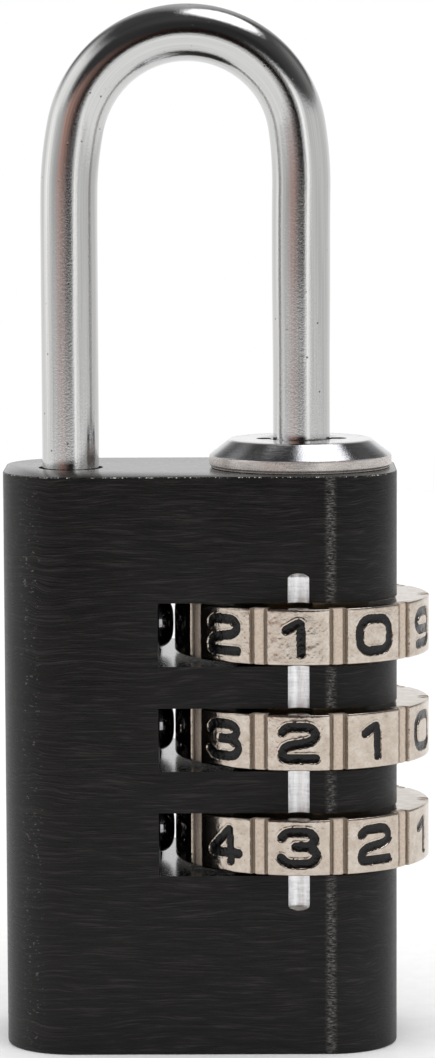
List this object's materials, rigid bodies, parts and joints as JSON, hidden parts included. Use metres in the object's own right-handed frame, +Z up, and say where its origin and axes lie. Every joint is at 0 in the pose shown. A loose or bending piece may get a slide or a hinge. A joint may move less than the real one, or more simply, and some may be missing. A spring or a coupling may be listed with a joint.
{
  "type": "combination padlock",
  "caption": "Compact padlock with number dials in a black metal body, a tall lifting shackle, a turned collar and a working clutch mechanism inside.",
  "frame": {"origin": "centre of the body's flat bottom face, in metres", "axes": "+Z up along the shackle legs, -Y out of the numbered front, +X towards the long leg and the dials"},
  "size_m": [0.023, 0.0138, 0.0562],
  "materials": {
    "case_black": "fine brushed, black anodised",
    "collar_steel": "turned and polished",
    "shackle_steel": "bright plated, drawn rod",
    "dial_metal": "satin nickel plate over zinc casting",
    "numeral_enamel": "gloss black enamel fill",
    "sleeve_brass": "turned",
    "washer_plastic": "moulded",
    "bush_aluminium": "turned",
    "hard_steel": "hardened, ground",
    "spring_steel": "drawn wire and rolled strip"
  },
  "bodies": {
    "case": {"body": "case_black", "collar": "collar_steel", "thrust_ring": "sleeve_brass", "sleeve_washers": "washer_plastic", "base_bush": "bush_aluminium", "bottom_plug": "case_black", "shackle_spring": "spring_steel", "detent_leaf": "spring_steel", "detent_studs": "hard_steel", "detent_plug": "case_black"},
    "shackle_assembly": {"shackle": "shackle_steel", "lug_pins": "hard_steel"},
    "top_dial": {"dial_top": "dial_metal", "numerals_top": "numeral_enamel", "sleeve_top": "sleeve_brass"},
    "middle_dial": {"dial_middle": "dial_metal", "numerals_middle": "numeral_enamel", "sleeve_middle": "sleeve_brass"},
    "bottom_dial": {"dial_bottom": "dial_metal", "numerals_bottom": "numeral_enamel", "sleeve_bottom": "sleeve_brass"}
  },
  "joints": [
    {"name": "shackle_lift", "type": "slide", "parent": "case", "child": "shackle_assembly", "axis": [0, 0, 1], "range_m": [0, 0.00565], "deforming": ["shackle_spring"]},
    {"name": "dial_top_spin", "type": "hinge", "parent": "case", "child": "top_dial", "pos_m": [0.0055, 0, 0.02275], "axis": [0, 0, 1], "continuous": true},
    {"name": "dial_middle_spin", "type": "hinge", "parent": "case", "child": "middle_dial", "pos_m": [0.0055, 0, 0.0171], "axis": [0, 0, 1], "continuous": true},
    {"name": "dial_bottom_spin", "type": "hinge", "parent": "case", "child": "bottom_dial", "pos_m": [0.0055, 0, 0.01145], "axis": [0, 0, 1], "continuous": true}
  ]
}
